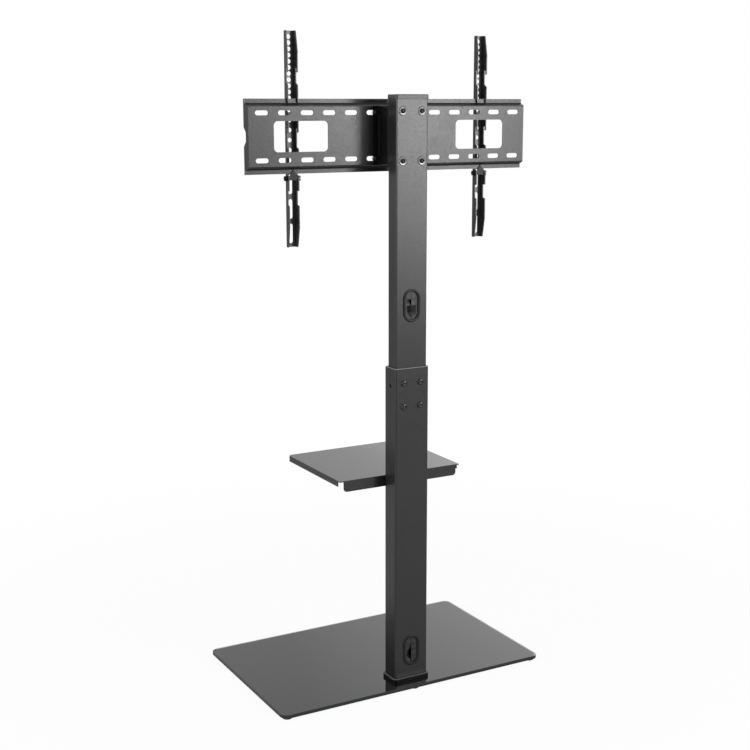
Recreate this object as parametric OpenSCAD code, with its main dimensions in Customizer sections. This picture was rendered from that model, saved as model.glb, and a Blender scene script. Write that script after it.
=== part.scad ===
// Television floor stand: glass base, telescopic mast, shelf and a hook-on
// mounting plate with two vertical arms. Millimetres, Z up, the television
// side is -Y. The origin is the centre of the base on the floor.

/* [Base] */
// Width of the glass base
base_w = 650; // [560:1:800]
// Depth of the glass base
base_d = 398; // [370:1:480]
// Thickness of the glass
glass_t = 8; // [6:0.5:12]
// Radius of the glass corners
glass_corner_r = 17; // [8:1:60]
// Ground edge on the glass
glass_chamfer = 0.8; // [0.3:0.1:2]
// Diameter of a rubber foot
foot_d = 23; // [16:1:26]
// Height of a rubber foot
foot_h = 5; // [4.5:0.5:12]
// Distance of a foot's centre from the glass edges
foot_inset = 17; // [14:1:40]
// Distance of the mast's axis behind the middle of the base
mast_y = 146; // [110:0.5:150]

/* [Foot of the mast] */
// Height of the collar round the mast's foot
collar_h = 8.5; // [4:0.5:12]
// How far the collar stands out from the tube
collar_out = 4.5; // [2:0.5:8]
// Thickness of the collar's floor under the tube
collar_floor = 1; // [0.8:0.1:2]
// Height of the threaded block in the tube's foot
block_h = 10; // [6:1:16]
// Width of the load plate under the glass
anchor_w = 160; // [110:1:240]
// Depth of the load plate under the glass
anchor_d = 40; // [36:1:40]
// Thickness of the load plate under the glass
anchor_t = 3.5; // [3:0.1:4]
// Bolt spacing across the foot
base_bolt_dx = 50; // [40:1:56]
// Bolt spacing along the foot's depth
base_bolt_dy = 18; // [16:1:20]
// Bolt hole in the glass
glass_hole_d = 9; // [8:0.5:11]

/* [Lower tube] */
// Width of the lower tube
low_w = 81; // [80:0.5:90]
// Depth of the lower tube
low_d = 46; // [43.5:0.5:50]
// Wall of the lower tube
low_wall = 2; // [1.5:0.1:2.2]
// Height of the lower tube's rim above the floor
rim_z = 714; // [700:1:760]
// Outer corner radius of the lower tube
low_corner_r = 4; // [2.5:0.5:5]

/* [Upper tube] */
// Width of the upper tube
up_w = 74; // [64:0.5:74.5]
// Depth of the upper tube
up_d = 34; // [30:0.5:36]
// Wall of the upper tube
up_wall = 2; // [1.5:0.1:2.5]
// Outer corner radius of the upper tube
up_corner_r = 2.5; // [2.5:0.5:5]
// Distance of the upper tube's axis behind the lower tube's
up_shift = 2; // [0:0.5:3]
// Height of the top of the cap above the floor
mast_top_z = 1277; // [1272:1:1320]
// Height of the upper tube's lower end above the floor
up_bottom_z = 479; // [478:1:490]

/* [Telescope] */
// Travel of the mast
lift = 100; // [50:10:100]
// Height of the guide sleeve inside the rim
sleeve_h = 18; // [12:1:20]
// Distance of the sleeve's top below the rim
sleeve_drop = 5; // [3:0.5:6]
// Height of the glide's flange under the upper tube
glide_h = 4; // [3:0.5:6]
// Height of the glide's plug in the upper tube
plug_h = 20; // [10:1:25]
// Wall of the plastic plugs
plug_wall = 2; // [1.5:0.1:2.5]
// Running clearance between sliding pieces
run_gap = 0.3; // [0.2:0.05:0.5]
// Assembly clearance between fixed pieces
seat_gap = 0.1; // [0.05:0.01:0.2]

/* [Height clamp] */
// Shank diameter of a height bolt
clamp_bolt_d = 8; // [6:0.5:8]
// Head diameter of a height bolt
clamp_head_d = 14; // [12:0.5:15]
// Head height of a height bolt
clamp_head_h = 4.2; // [3:0.1:5]
// Bolt spacing across the tube
clamp_dx = 40; // [34:1:44]
// Bolt spacing up the tube
clamp_dz = 50; // [40:1:60]
// Height of the clamp's middle below the rim
clamp_drop = 57; // [56:1:70]
// Thickness of the nut plate
nut_plate_t = 4; // [3:0.5:6]
// Margin of the nut plate round its bolts
nut_plate_edge = 10; // [7:1:11]
// Height of the side set screw below the rim
side_drop = 40; // [36:1:50]
// Diameter of the side set screw
side_screw_d = 8; // [5:0.5:8]
// Diameter of the countersink round the side set screw
side_sink_d = 10.5; // [9:0.5:12]

/* [Cable grommets] */
// Height of the lower grommet's centre
low_grommet_z = 82; // [66:1:140]
// Height of the upper grommet's centre
up_grommet_z = 845.5; // [830:0.5:960]
// Overall height of a grommet's bezel
bezel_h = 70; // [56:1:80]
// Overall width of a grommet's bezel
bezel_w = 41; // [34:1:46]
// Thickness of the bezel's crowned rim
bezel_t = 2; // [1.2:0.1:3]
// Width of the bezel's rim outside its hole
bezel_rim = 4; // [3:0.5:5]
// Wall of the bezel's neck
neck_wall = 1.8; // [1.2:0.1:2.5]
// Depth of the neck behind the wall
neck_l = 4; // [3:0.5:6]
// Thickness of the slit membrane
flap_t = 1.2; // [0.8:0.1:2]
// Depth of the membrane behind the wall's face
flap_recess = 0.8; // [0.4:0.1:1.5]
// Width of the slits
slit_w = 0.9; // [0.6:0.1:1.5]
// Distance between the cross slits
slit_pitch = 13; // [10:0.5:14]
// Uncut edge of the membrane
flap_edge = 3; // [2:0.5:4]

/* [Shelf] */
// Width of the shelf
shelf_w = 300; // [240:1:420]
// Depth of the shelf in front of the tube
shelf_d = 255; // [180:1:300]
// Height of the shelf's top above the floor
shelf_z = 474; // [440:1:474]
// Thickness of the shelf's sheet
shelf_t = 2; // [1.5:0.1:2.5]
// Height of the side and front lips
shelf_lip = 13; // [6:0.5:16]
// Height of the rear flange
shelf_flange = 25; // [20:0.5:30]
// Inset of the rear flange from the shelf's sides
shelf_inset = 10; // [6:0.5:16]
// Radius of the shelf's front corners
shelf_corner_r = 10; // [6:1:14]
// Radius of the shelf's rear corners
shelf_rear_r = 3; // [2.5:0.5:8]
// Distance that the side lips end in front of the shelf's rear edge
shelf_relief = 10; // [6:0.5:20]
// Spacing of the shelf bolts
shelf_bolt_dx = 50; // [40:1:56]

/* [Small fasteners] */
// Shank diameter of the small bolts
bolt_d = 6; // [5:0.5:6]
// Head diameter of the small bolts
head_d = 10.5; // [9:0.5:11]
// Head height of the small bolts
head_h = 3.3; // [2.5:0.1:4]
// Size across the flats of the small nuts
nut_af = 10; // [8:0.5:10]
// Height of the small nuts
nut_h = 5; // [3:0.5:5]
// Socket size in the small heads
hex_af = 4; // [3:0.5:5]

/* [Mast to plate] */
// Height of the mounting plate's middle
plate_z = 1194; // [1188:1:1198]
// Bolt spacing across the mast
mount_dx = 45; // [36:1:48]
// Bolt spacing up the mast
mount_dz = 100; // [80:1:100]
// Diameter of the washers under the mount bolts
washer_d = 18; // [14:0.5:20]
// Thickness of the washers
washer_t = 2; // [1:0.1:2]
// Distance from the mast to the mounting plate
adapter_l = 42; // [30:1:60]
// Sheet of the bracket
adapter_t = 3; // [2.5:0.1:4]
// Width of the bracket over its flanges
adapter_w = 99; // [98:1:104]
// Height of the bracket at the plate
adapter_h = 121; // [118:1:124]
// Height of the bracket at the mast
adapter_mast_h = 112; // [112:1:118]
// Distance of a bracket screw from the middle
adapter_screw_x = 43.5; // [43.5:0.5:44]

/* [Mounting plate] */
// Overall length of the mounting plate
plate_w = 664; // [652:1:720]
// Overall height over both lips
plate_h = 149; // [148:1:150]
// Sheet of the mounting plate
plate_t = 2; // [1.5:0.1:2.2]
// Height of the lips that the arms hang on
lip_h = 9.5; // [9.5:0.1:10]
// Distance of the lips in front of the web
lip_step = 15; // [13:0.5:16]
// Height that a sloped flank takes
flank_h = 5; // [4:0.5:5]
// How much a sloped end flange spreads
end_spread = 3.5; // [2:0.5:6]
// Length of a slot
slot_l = 28.5; // [24:0.5:32]
// Width of a slot
slot_w = 9.5; // [8:0.5:10]
// Distance between slots in a row
slot_pitch = 50; // [48:0.5:50]
// Slots in a row
slot_n = 13; // [13:2:13]
// Distance between the two rows
row_gap = 93.5; // [92:0.5:96]
// Width of a window
window_w = 121; // [100:1:124]
// Height of a window
window_h = 61; // [50:1:66]
// Corner radius of a window
window_r = 9; // [5:0.5:14]
// Distance of a window's middle from the plate's middle
window_x = 213.5; // [210:0.5:215]
// Depth of the notch in an end flange
end_notch = 7; // [4:0.5:9]
// Half width of the notch at the flange's edge
end_notch_mouth = 19.5; // [16:0.5:26]
// Half width of the notch at its floor
end_notch_floor = 9; // [6:0.5:14]

/* [Arms] */
// Distance of an arm from the plate's middle
arm_x = 226; // [150:1:280]
// Length of an arm
arm_l = 431; // [425:1:480]
// Width of an arm's television face
arm_w = 20.5; // [18.5:0.5:24]
// Depth of an arm's webs
arm_depth = 20; // [19:0.5:22]
// Depth of the webs at an arm's ends
arm_end_depth = 13; // [10:0.5:14]
// How far each web spreads at its rear edge
arm_splay = 2; // [1.5:0.1:4]
// Sheet of an arm
arm_t = 2; // [1.5:0.1:2]
// Length of the tapers at an arm's ends
arm_taper = 43; // [30:1:50]
// Height of the arm's top above the plate's upper lip
arm_over = 132.5; // [130:0.5:160]
// Distance between the hooks
hook_pitch = 59.2; // [57:0.1:60]
// Length of a hook's finger
finger_l = 8.5; // [6:0.1:8.5]
// Width of a hook's throat
throat_w = 3.5; // [3:0.1:4]
// Diameter of the screw holes for the television
tv_hole_d = 9.5; // [8:0.1:10]
// Distance of the first hole from the arm's top
tv_hole_top = 11.6; // [10:0.1:14]
// Distance between the closely spaced holes
fine_pitch = 12; // [11.5:0.1:12]
// Closely spaced holes
fine_n = 11; // [8:1:11]
// Distance of the first wide spaced hole from the arm's top
coarse_top = 155; // [150:0.5:158]
// Distance between the wide spaced holes
coarse_pitch = 20; // [18:0.5:20]
// Wide spaced holes
coarse_n = 6; // [4:1:6]
// Length of a long slot for the television
tv_slot_l = 40; // [34:0.5:40]
// Width of a long slot for the television
tv_slot_w = 9; // [7:0.1:9.5]
// Bridge between two long slots
tv_slot_bridge = 10; // [8:0.5:10]
// Long slots in an arm
tv_slot_n = 3; // [1:1:3]
// Distance of the first long slot's top from the arm's top
tv_slot_top = 283.5; // [278:0.5:284]

/* [Latches] */
// Width of a latch over its ears
latch_w = 16.2; // [12:0.1:16.2]
// Width of a latch's pointed tab
latch_tab_w = 18.4; // [14:0.1:18.4]
// Sheet of a latch
latch_t = 1.8; // [1.2:0.1:2]
// Height of the latch's tip above its pivot
latch_tip = 17; // [13:0.5:17]
// Distance of the latch's tail below its pivot
latch_tail = 3.6; // [3:0.1:4]
// Radius of the latch's ears round the pivot
latch_ear_r = 4.5; // [4.2:0.1:4.5]
// Distance of the pivot behind the television face
pivot_depth = 11; // [10:0.5:11.5]
// Distance of the pivot below the plate's lower lip
pivot_drop = 9.4; // [9:0.1:11]
// Head diameter of the pivot screw
pivot_head_d = 11; // [9:0.5:12]
// Head height of the pivot screw
pivot_head_h = 5; // [3:0.5:6]
// Bearing clearance of the latch on its screw
pivot_gap = 0.1; // [0.05:0.01:0.2]

/* [Hidden] */

// Roundness of bores, heads and corner arcs
$fn = 48;
// Points on the arc of a bend
bend_steps = 4;
// Overshoot of a cut past the face it opens
past = 1;

// Colours
steel_black = [0.13, 0.13, 0.14];
plastic_black = [0.07, 0.07, 0.075];
rubber_black = [0.05, 0.05, 0.05];
glass_black = [0.03, 0.03, 0.035];
bolt_black = [0.18, 0.18, 0.19];
zinc = [0.62, 0.63, 0.65];

// Hole for a small bolt
bolt_hole_d = bolt_d + 2 * seat_gap;

// Levels of the base
glass_top = foot_h + glass_t;
tube_z0 = glass_top + collar_floor;
up_y = mast_y + up_shift;

// Faces of the tubes
low_front = mast_y - low_d / 2;
low_rear = mast_y + low_d / 2;
up_front = up_y - up_d / 2;
up_rear = up_y + up_d / 2;
low_in_w = low_w - 2 * low_wall;
low_in_d = low_d - 2 * low_wall;
up_in_w = up_w - 2 * up_wall;
up_in_d = up_d - 2 * up_wall;
low_in_r = max(low_corner_r - low_wall, 0.5);
up_in_r = max(up_corner_r - up_wall, 0.5);

// Top cap: its skirt stands proud of the upper tube
cap_out = 2;
cap_roof = 2;
cap_h = 9.5;
cap_plug_h = 14;
cap_chamfer = 1.5;
up_top_z = mast_top_z - cap_roof;

// Height clamp
clamp_z = rim_z - clamp_drop;
clamp_slot_w = clamp_bolt_d + 2 * run_gap + 0.4;
nut_plate_w = min(clamp_dx + 2 * nut_plate_edge, up_in_w - 4);
nut_plate_h = clamp_dz + 2 * nut_plate_edge;
nut_plate_y = up_rear - up_wall - run_gap - nut_plate_t;
side_z = rim_z - side_drop;
side_sink = 1.2;

// Grommets
hole_w = bezel_w - 2 * bezel_rim;
hole_h = bezel_h - 2 * bezel_rim;
rim_edge = 0.6;
crown_steps = 10;

// Shelf
shelf_rear = low_front;
shelf_bolt_z = shelf_z - shelf_flange / 2;
shelf_edge = 0.8;
flange_r = 7.5;

// Mounting plate: the web's rear face meets the bracket
web_y = up_front - adapter_l;
lip_y = web_y - lip_step;
web_half = plate_h / 2 - lip_h - flank_h;
lip_top = plate_z + plate_h / 2;
lip_bottom = plate_z - plate_h / 2;

// Arms: their television face and their top
throat_depth = lip_y - plate_t - run_gap;
arm_y = throat_depth - arm_end_depth;
arm_floor = throat_depth - arm_y;
arm_top = lip_top + run_gap + arm_over;
arm_bottom = arm_top - arm_l;
pivot_y = arm_y + pivot_depth;
pivot_z = lip_bottom - pivot_drop;

// Hook notches, as distance below the arm's top, height at the floor and
// height at the rear edge; the last one has no finger
first_hook = arm_over - hook_pitch;
hooks = [
    [first_hook, 29.5, 34.5],
    [first_hook + hook_pitch, 29.5, 34.5],
    [first_hook + 2 * hook_pitch, 38, 40.5],
    [first_hook + 3 * hook_pitch, 33.4, 36]
];
plain_notch = [316.5, 28.5, 31];

// Plane shapes

// Rectangle with true arcs at its corners
module rounded_rect(w, d, r) {
    square([w - 2 * r, d], center = true);
    square([w, d - 2 * r], center = true);
    for (sx = [-1, 1], sy = [-1, 1])
        translate([sx * (w / 2 - r), sy * (d / 2 - r)]) circle(r);
}

// Slot with round ends, its length along Y
module slot_shape(w, l) {
    square([w, l - w], center = true);
    for (s = [-1, 1]) translate([0, s * (l - w) / 2]) circle(w / 2);
}

function unit(v) = v / norm(v);
function left_of(v) = [-v[1], v[0]];
function reversed(p) = [for (i = [len(p) - 1 : -1 : 0]) p[i]];
function turn(a) = a > 180 ? a - 360 : (a < -180 ? a + 360 : a);

// Arc of radius r that rounds the corner b between a and c
function corner_arc(a, b, c, r) =
    let (
        u = unit(a - b),
        w = unit(c - b),
        half = acos(u * w) / 2,
        centre = b + unit(u + w) * r / sin(half),
        from = b + u * r / tan(half) - centre,
        to = b + w * r / tan(half) - centre,
        a0 = atan2(from[1], from[0]),
        sweep = turn(atan2(to[1], to[0]) - a0)
    )
    [for (i = [0 : bend_steps]) let (a = a0 + sweep * i / bend_steps) centre + r * [cos(a), sin(a)]];

// Open path with every inner corner rounded
function rounded_path(p, r) = [
    p[0],
    for (i = [1 : len(p) - 2]) each corner_arc(p[i - 1], p[i], p[i + 1], r),
    p[len(p) - 1]
];

// Path moved sideways by d, with mitred corners
function shifted_path(p, d) = [
    for (i = [0 : len(p) - 1])
        let (
            before = left_of(unit(i == 0 ? p[1] - p[0] : p[i] - p[i - 1])),
            after = i == len(p) - 1 ? before : left_of(unit(p[i + 1] - p[i])),
            mitre = unit(before + after)
        )
        p[i] + mitre * d / (mitre * before)
];

// Section of bent sheet: a path along the sheet's middle, given a thickness
module sheet_section(path, t, bend_r) {
    middle = rounded_path(path, bend_r);
    polygon(concat(shifted_path(middle, t / 2), reversed(shifted_path(middle, -t / 2))));
}

// Solids

// Extrusion along X of a shape drawn in Y and Z
module along_x(l) {
    rotate([90, 0, 90]) linear_extrude(l, center = true) children();
}

// Extrusion along Y of a shape drawn in X and Z, from y0 to y1
module along_y(y0, y1) {
    translate([0, y1, 0]) rotate([90, 0, 0]) linear_extrude(y1 - y0) children();
}

// Slab with rounded corners and chamfers at its lower and upper edges
module chamfered_slab(w, d, h, r, low_c, top_c) {
    module edge_section(l) {
        polygon([
            [-l / 2 + low_c, 0], [l / 2 - low_c, 0], [l / 2, low_c], [l / 2, h - top_c],
            [l / 2 - top_c, h], [-l / 2 + top_c, h], [-l / 2, h - top_c], [-l / 2, low_c]
        ]);
    }
    along_x(w - 2 * r) edge_section(d);
    translate([0, d / 2 - r, 0]) rotate([90, 0, 0]) linear_extrude(d - 2 * r) edge_section(w);
    for (sx = [-1, 1], sy = [-1, 1])
        translate([sx * (w / 2 - r), sy * (d / 2 - r), 0])
            rotate_extrude()
                polygon([[0, 0], [r - low_c, 0], [r, low_c], [r, h - top_c], [r - top_c, h], [0, h]]);
}

// Rectangular tube standing on z0, its axis at y
module tube(y, w, d, wall, r, in_r, z0, z1) {
    translate([0, y, z0])
        linear_extrude(z1 - z0)
            difference() {
                rounded_rect(w, d, r);
                rounded_rect(w - 2 * wall, d - 2 * wall, in_r);
            }
}

// Domed head with a hex socket, its seat on z = 0
module button_head(d, h, socket) {
    difference() {
        rotate_extrude()
            polygon(concat([[0, 0]], [
                for (i = [0 : 6])
                    let (a = 15 * i)
                    [d / 2 - (d / 2 - socket * 0.8) * (1 - cos(a)), 0.25 * h + 0.75 * h * sin(a)]
            ], [[0, h]]));
        translate([0, 0, 0.45 * h]) cylinder(h = h, d = socket / cos(30), $fn = 6);
    }
}

// Bolt with a domed head; the shank points down from z = 0
module button_bolt(shank_d, l, d, h, socket) {
    button_head(d, h, socket);
    translate([0, 0, -l]) cylinder(h = l + 0.2 * h, d = shank_d);
}

// Hex nut with its bore, standing on z = 0
module hex_nut(af, h, bore_d) {
    difference() {
        rotate([0, 0, 30]) cylinder(h = h, d = af / cos(30), $fn = 6);
        translate([0, 0, -past]) cylinder(h = h + 2 * past, d = bore_d);
    }
}

// Four places of a rectangular pattern in X and Z
module at_corners(dx, dz) {
    for (sx = [-1, 1], sz = [-1, 1]) translate([sx * dx / 2, 0, sz * dz / 2]) children();
}

// Turns a piece built along Z so that its top faces +Y, or -Y
module facing_rear() { rotate([-90, 0, 0]) children(); }
module facing_front() { rotate([90, 0, 0]) children(); }

// Base

module at_base_bolts() {
    for (sx = [-1, 1], sy = [-1, 1])
        translate([sx * base_bolt_dx / 2, mast_y + sy * base_bolt_dy / 2, 0]) children();
}

module base_glass() {
    color(glass_black)
        difference() {
            translate([0, 0, foot_h])
                chamfered_slab(base_w, base_d, glass_t, glass_corner_r, glass_chamfer, glass_chamfer);
            at_base_bolts()
                translate([0, 0, foot_h - past]) cylinder(h = glass_t + 2 * past, d = glass_hole_d);
        }
}

// Five pads: one at each corner and one under the mast's side
module base_feet() {
    x = base_w / 2 - foot_inset;
    y = base_d / 2 - foot_inset;
    r = foot_d / 2;
    color(rubber_black)
        for (p = [[-x, -y], [x, -y], [-x, y], [x, y], [0, y]])
            translate([p[0], p[1], 0])
                rotate_extrude()
                    polygon([[0, 0], [r - 1.5, 0], [r - 0.5, 1], [r, foot_h], [0, foot_h]]);
}

// Countersunk heads are let into the plate's lower face
sunk_h = anchor_t - 0.4;
sunk_d = bolt_d + 2 * sunk_h;
anchor_z = foot_h - anchor_t;

module anchor_plate() {
    color(steel_black)
        difference() {
            translate([0, mast_y, anchor_z]) linear_extrude(anchor_t) rounded_rect(anchor_w, anchor_d, 6);
            at_base_bolts() {
                translate([0, 0, anchor_z - past]) cylinder(h = anchor_t + 2 * past, d = bolt_hole_d);
                translate([0, 0, anchor_z]) cylinder(h = sunk_h, d1 = sunk_d + 2 * seat_gap, d2 = bolt_hole_d);
                translate([0, 0, anchor_z - past]) cylinder(h = past, d = sunk_d + 2 * seat_gap);
            }
        }
}

module base_bolts() {
    color(zinc)
        at_base_bolts()
            difference() {
                union() {
                    translate([0, 0, anchor_z]) cylinder(h = sunk_h, d1 = sunk_d, d2 = bolt_d);
                    translate([0, 0, anchor_z]) cylinder(h = tube_z0 + block_h - 2 - anchor_z, d = bolt_d);
                }
                translate([0, 0, anchor_z - past]) cylinder(h = past + 1.8, d = hex_af / cos(30), $fn = 6);
            }
}

module foot_block() {
    color(zinc)
        difference() {
            translate([0, mast_y, tube_z0])
                linear_extrude(block_h)
                    rounded_rect(low_in_w - 2 * seat_gap, low_in_d - 2 * seat_gap, low_in_r);
            at_base_bolts()
                translate([0, 0, tube_z0 - past]) cylinder(h = block_h + 2 * past, d = bolt_hole_d);
        }
}

// Moulded collar with a thin floor that keeps the tube off the glass
module foot_collar() {
    color(plastic_black)
        difference() {
            translate([0, mast_y, glass_top])
                chamfered_slab(low_w + 2 * collar_out, low_d + 2 * collar_out, collar_h,
                    low_corner_r + collar_out, 0.3, 1);
            translate([0, mast_y, tube_z0])
                linear_extrude(collar_h)
                    rounded_rect(low_w + 2 * seat_gap, low_d + 2 * seat_gap, low_corner_r);
            translate([0, mast_y, glass_top - past])
                linear_extrude(collar_h) rounded_rect(low_in_w - 6, low_in_d - 6, low_in_r);
        }
}

// Lower mast

module lower_tube() {
    color(steel_black)
        difference() {
            tube(mast_y, low_w, low_d, low_wall, low_corner_r, low_in_r, tube_z0, rim_z);
            translate([0, 0, low_grommet_z]) along_y(mast_y, low_rear + past) slot_shape(hole_w, hole_h);
            translate([0, 0, clamp_z])
                at_corners(clamp_dx, clamp_dz)
                    along_y(mast_y, low_rear + past) circle(d = clamp_bolt_d + 2 * seat_gap);
            translate([low_w / 4, mast_y, side_z])
                rotate([0, 90, 0]) cylinder(h = low_w / 2, d = side_screw_d + 2 * seat_gap);
            translate([low_w / 2 - side_sink, mast_y, side_z])
                rotate([0, 90, 0]) cylinder(h = side_sink, d1 = side_screw_d + 2 * seat_gap, d2 = side_sink_d);
            for (s = [-1, 1])
                translate([s * shelf_bolt_dx / 2, 0, shelf_bolt_z])
                    along_y(low_front - past, mast_y) circle(d = bolt_hole_d);
        }
}

// Plastic sleeve that centres the upper tube in the rim
module guide_sleeve() {
    color(plastic_black)
        translate([0, 0, rim_z - sleeve_drop - sleeve_h])
            linear_extrude(sleeve_h)
                difference() {
                    translate([0, mast_y])
                        rounded_rect(low_in_w - 2 * seat_gap, low_in_d - 2 * seat_gap, low_in_r);
                    translate([0, up_y]) rounded_rect(up_w + 2 * run_gap, up_d + 2 * run_gap, up_corner_r);
                }
}

// The bolts pass through two long slots of the upper tube into the nut plate
module height_bolts() {
    l = low_rear - nut_plate_y + 1.5;
    color(bolt_black)
        translate([0, low_rear, clamp_z])
            at_corners(clamp_dx, clamp_dz)
                facing_rear() button_bolt(clamp_bolt_d, l, clamp_head_d, clamp_head_h, hex_af + 1);
}

module clamp_nut_plate() {
    color(zinc)
        difference() {
            translate([0, 0, clamp_z])
                along_y(nut_plate_y, nut_plate_y + nut_plate_t) rounded_rect(nut_plate_w, nut_plate_h, 4);
            translate([0, 0, clamp_z])
                at_corners(clamp_dx, clamp_dz)
                    along_y(nut_plate_y - past, low_rear) circle(d = clamp_bolt_d + 2 * seat_gap);
        }
}

// Set screw in the tube's side; its tip steadies the upper tube
module side_screw() {
    tip = up_w / 2 + run_gap;
    l = low_w / 2 - side_sink / 2 - tip;
    color(bolt_black)
        translate([tip, mast_y, side_z])
            rotate([0, 90, 0])
                difference() {
                    cylinder(h = l, d = side_screw_d);
                    translate([0, 0, l / 2]) cylinder(h = l, d = hex_af / cos(30), $fn = 6);
                }
}

// Cable grommets: a bezel with a neck, and a slit rubber membrane in it

// Ring swept round an oval that lies in X and Z, from a section drawn in
// radius and height; its top faces +Y
module oval_ring(w, h) {
    l = h - w;
    facing_rear()
        for (s = [-1, 1]) {
            intersection() {
                translate([0, s * l / 2, 0]) rotate_extrude() children();
                translate([-w, (s - 1) * w / 2 + s * l / 2, -w]) cube([2 * w, w, 2 * w]);
            }
            rotate([90, 0, 0]) linear_extrude(l, center = true) mirror([1 - s, 0]) children();
        }
}

// Section of a bezel: a crowned rim outside the wall and a neck in its hole
module bezel_section() {
    r_out = bezel_w / 2;
    r_in = hole_w / 2 - neck_wall;
    r_mid = (r_out + r_in) / 2;
    crown = [
        for (i = [0 : crown_steps])
            let (a = 180 * i / crown_steps)
            [r_mid + (r_out - r_in) / 2 * cos(a), rim_edge + (bezel_t - rim_edge) * sin(a)]
    ];
    polygon(concat([[r_out, 0]], crown, [
        [r_in, -neck_l], [hole_w / 2 - seat_gap, -neck_l], [hole_w / 2 - seat_gap, 0]
    ]));
}

module grommet_ring(face_y, z) {
    translate([0, face_y, z]) oval_ring(bezel_w, bezel_h) bezel_section();
}

module grommet_flaps(face_y, z) {
    w = hole_w - 2 * neck_wall - 2 * seat_gap;
    h = hole_h - 2 * neck_wall - 2 * seat_gap;
    translate([0, 0, z])
        along_y(face_y - flap_recess - flap_t, face_y - flap_recess)
            difference() {
                slot_shape(w, h);
                square([slit_w, h - 2 * flap_edge], center = true);
                for (k = [-1, 0, 1])
                    translate([0, k * slit_pitch]) square([w - 2 * flap_edge, slit_w], center = true);
            }
}

module lower_grommet_ring() { color(plastic_black) grommet_ring(low_rear, low_grommet_z); }
module lower_grommet_flaps() { color(rubber_black) grommet_flaps(low_rear, low_grommet_z); }
module upper_grommet_ring() { color(plastic_black) grommet_ring(up_rear, up_grommet_z); }
module upper_grommet_flaps() { color(rubber_black) grommet_flaps(up_rear, up_grommet_z); }

// Shelf

// Tray with lips at the sides and front, and a deeper flange at the rear.
// The side lips end short of the flange, where the corners are relieved
module shelf() {
    mid_y = shelf_rear - shelf_d / 2;
    flange_w = shelf_w - 2 * shelf_inset;
    color(steel_black)
        difference() {
            union() {
                difference() {
                    translate([0, mid_y, shelf_z - shelf_lip])
                        chamfered_slab(shelf_w, shelf_d, shelf_lip, shelf_corner_r, 0, shelf_edge);
                    translate([0, mid_y, shelf_z - shelf_lip - past])
                        linear_extrude(shelf_lip + past - shelf_t)
                            rounded_rect(shelf_w - 2 * shelf_t, shelf_d - 2 * shelf_t, shelf_corner_r - shelf_t);
                    translate([-shelf_w, shelf_rear - shelf_relief, shelf_z - shelf_lip - past])
                        cube([2 * shelf_w, shelf_relief + past, shelf_lip + past - shelf_t]);
                }
                translate([0, shelf_rear - 2 * shelf_relief, shelf_z - shelf_t])
                    chamfered_slab(shelf_w, 4 * shelf_relief, shelf_t, shelf_rear_r, 0, shelf_edge);
                translate([0, 0, shelf_z - shelf_flange / 2])
                    along_y(shelf_rear - shelf_t, shelf_rear)
                        rounded_rect(flange_w, shelf_flange - 2 * shelf_edge, flange_r);
                translate([0, 0, shelf_z - shelf_flange / 4 - shelf_edge])
                    along_y(shelf_rear - shelf_t, shelf_rear) square([flange_w, shelf_flange / 2], center = true);
            }
            at_shelf_bolts()
                along_y(shelf_rear - shelf_t - past, shelf_rear + past) circle(d = bolt_hole_d);
        }
}

module at_shelf_bolts() {
    for (s = [-1, 1]) translate([s * shelf_bolt_dx / 2, 0, shelf_bolt_z]) children();
}

module shelf_bolts() {
    l = shelf_t + low_wall + nut_h + 1;
    color(bolt_black)
        at_shelf_bolts()
            translate([0, shelf_rear - shelf_t, 0])
                facing_front() button_bolt(bolt_d, l, head_d, head_h, hex_af);
}

module shelf_nuts() {
    color(zinc)
        at_shelf_bolts()
            translate([0, low_front + low_wall, 0]) facing_rear() hex_nut(nut_af, nut_h, bolt_hole_d);
}

// Upper mast

module upper_tube() {
    slot_top = clamp_z + clamp_dz / 2 + clamp_slot_w / 2;
    slot_bottom = clamp_z - clamp_dz / 2 - lift - clamp_slot_w / 2;
    color(steel_black)
        difference() {
            tube(up_y, up_w, up_d, up_wall, up_corner_r, up_in_r, up_bottom_z, up_top_z);
            translate([0, 0, up_grommet_z]) along_y(mast_y, up_rear + past) slot_shape(hole_w, hole_h);
            for (s = [-1, 1])
                translate([s * clamp_dx / 2, 0, (slot_top + slot_bottom) / 2])
                    along_y(mast_y, up_rear + past) slot_shape(clamp_slot_w, slot_top - slot_bottom);
            translate([0, 0, plate_z])
                at_corners(mount_dx, mount_dz)
                    along_y(up_front - past, up_rear + past) circle(d = bolt_hole_d);
        }
}

// Plug in the tube's lower end with a flange that runs in the lower tube
module tube_glide() {
    opening_w = up_in_w - 2 * plug_wall - 2;
    opening_d = up_in_d - 2 * plug_wall - 2;
    color(plastic_black)
        difference() {
            union() {
                translate([0, mast_y, up_bottom_z - glide_h])
                    linear_extrude(glide_h)
                        rounded_rect(low_in_w - 2 * run_gap, low_in_d - 2 * run_gap, low_in_r);
                translate([0, up_y, up_bottom_z - glide_h])
                    linear_extrude(glide_h + plug_h)
                        rounded_rect(up_in_w - 2 * seat_gap, up_in_d - 2 * seat_gap, up_in_r);
            }
            translate([0, up_y, up_bottom_z - glide_h - past])
                linear_extrude(glide_h + plug_h + 2 * past) rounded_rect(opening_w, opening_d, 3);
        }
}

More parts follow.
